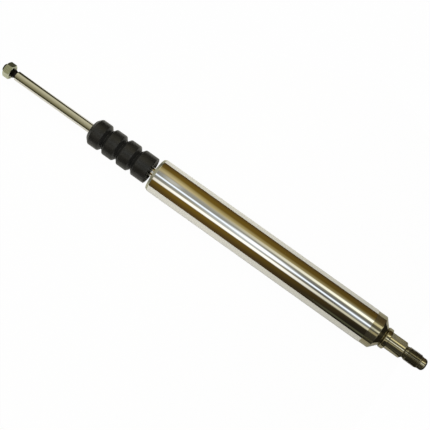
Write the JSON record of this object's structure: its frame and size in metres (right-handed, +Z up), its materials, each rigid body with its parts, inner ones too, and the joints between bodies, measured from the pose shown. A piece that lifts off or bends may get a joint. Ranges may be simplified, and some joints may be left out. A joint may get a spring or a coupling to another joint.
{
  "type": "shock absorber",
  "caption": "Slim gas-charged single-tube shock absorber: chromed tube with a threaded stud, sliding rod, lobed rubber bump stop and end nut.",
  "frame": {"origin": "on the common axis of tube and rod, in the plane of the collar face that the mounting rests on", "axes": "+X along the axis from the rod towards the stud, +Z up with the damper lying down"},
  "size_m": [0.5564, 0.04, 0.04],
  "materials": {
    "tube_chrome": "polished hard chrome",
    "rod_chrome": "ground and hard-chromed, with a blackened threaded end",
    "end_steel": "turned steel with a thin yellow passivation",
    "nut_zinc": "yellow-passivated zinc",
    "bump_rubber": "matt moulded black rubber",
    "seal_rubber": "smooth moulded black rubber",
    "guide_aluminium": "turned",
    "plate_steel": "plain pressed steel",
    "spring_steel": "blued spring steel",
    "piston_iron": "sintered, steam treated",
    "band_plastic": "filled low-friction plastic",
    "bush_bronze": "bronze with a dark running face"
  },
  "bodies": {
    "body": {"body_tube": "tube_chrome", "end_cap": "end_steel", "top_stud": "end_steel", "outer_retaining_ring": "spring_steel", "inner_retaining_ring": "spring_steel", "cover_plate": "plate_steel", "wiper_seal": "seal_rubber", "seal_washer": "plate_steel", "rod_seal": "seal_rubber", "rod_guide": "guide_aluminium", "guide_bush": "bush_bronze", "guide_o_ring": "seal_rubber"},
    "carriage": {"piston_band": "band_plastic"},
    "rod": {"piston_rod": "rod_chrome", "rod_nut": "nut_zinc", "rebound_buffer": "bump_rubber", "rebound_stop": "plate_steel", "compression_washer": "plate_steel", "compression_shims": "spring_steel", "piston": "piston_iron", "rebound_shims": "spring_steel", "rebound_washer": "plate_steel", "piston_nut": "plate_steel"},
    "floating_piston": {"floating_piston": "guide_aluminium", "floating_piston_o_ring": "seal_rubber", "floating_piston_band": "band_plastic"},
    "bump_stop": {"bump_stop": "bump_rubber"}
  },
  "joints": [
    {"name": "rod_slide", "type": "slide", "parent": "body", "child": "carriage", "axis": [1, 0, 0], "range_m": [0, 0.1149], "stiffness_N_per_m": 430, "springref_m": -0.44},
    {"name": "rod_swivel", "type": "hinge", "parent": "carriage", "child": "rod", "pos_m": [-0.2549, 0, 0], "axis": [1, 0, 0], "continuous": true},
    {"name": "floating_piston_slide", "type": "slide", "parent": "body", "child": "floating_piston", "axis": [1, 0, 0], "range_m": [0, 0.0108]},
    {"name": "bump_stop_slide", "type": "slide", "parent": "rod", "child": "bump_stop", "axis": [-1, 0, 0], "range_m": [0, 0.1094]}
  ],
  "couplings": [
    {"joint": "floating_piston_slide", "follows": "rod_slide", "ratio": 0.09336},
    {"joint": "bump_stop_slide", "follows": "rod_slide", "ratio": 0.95126}
  ]
}
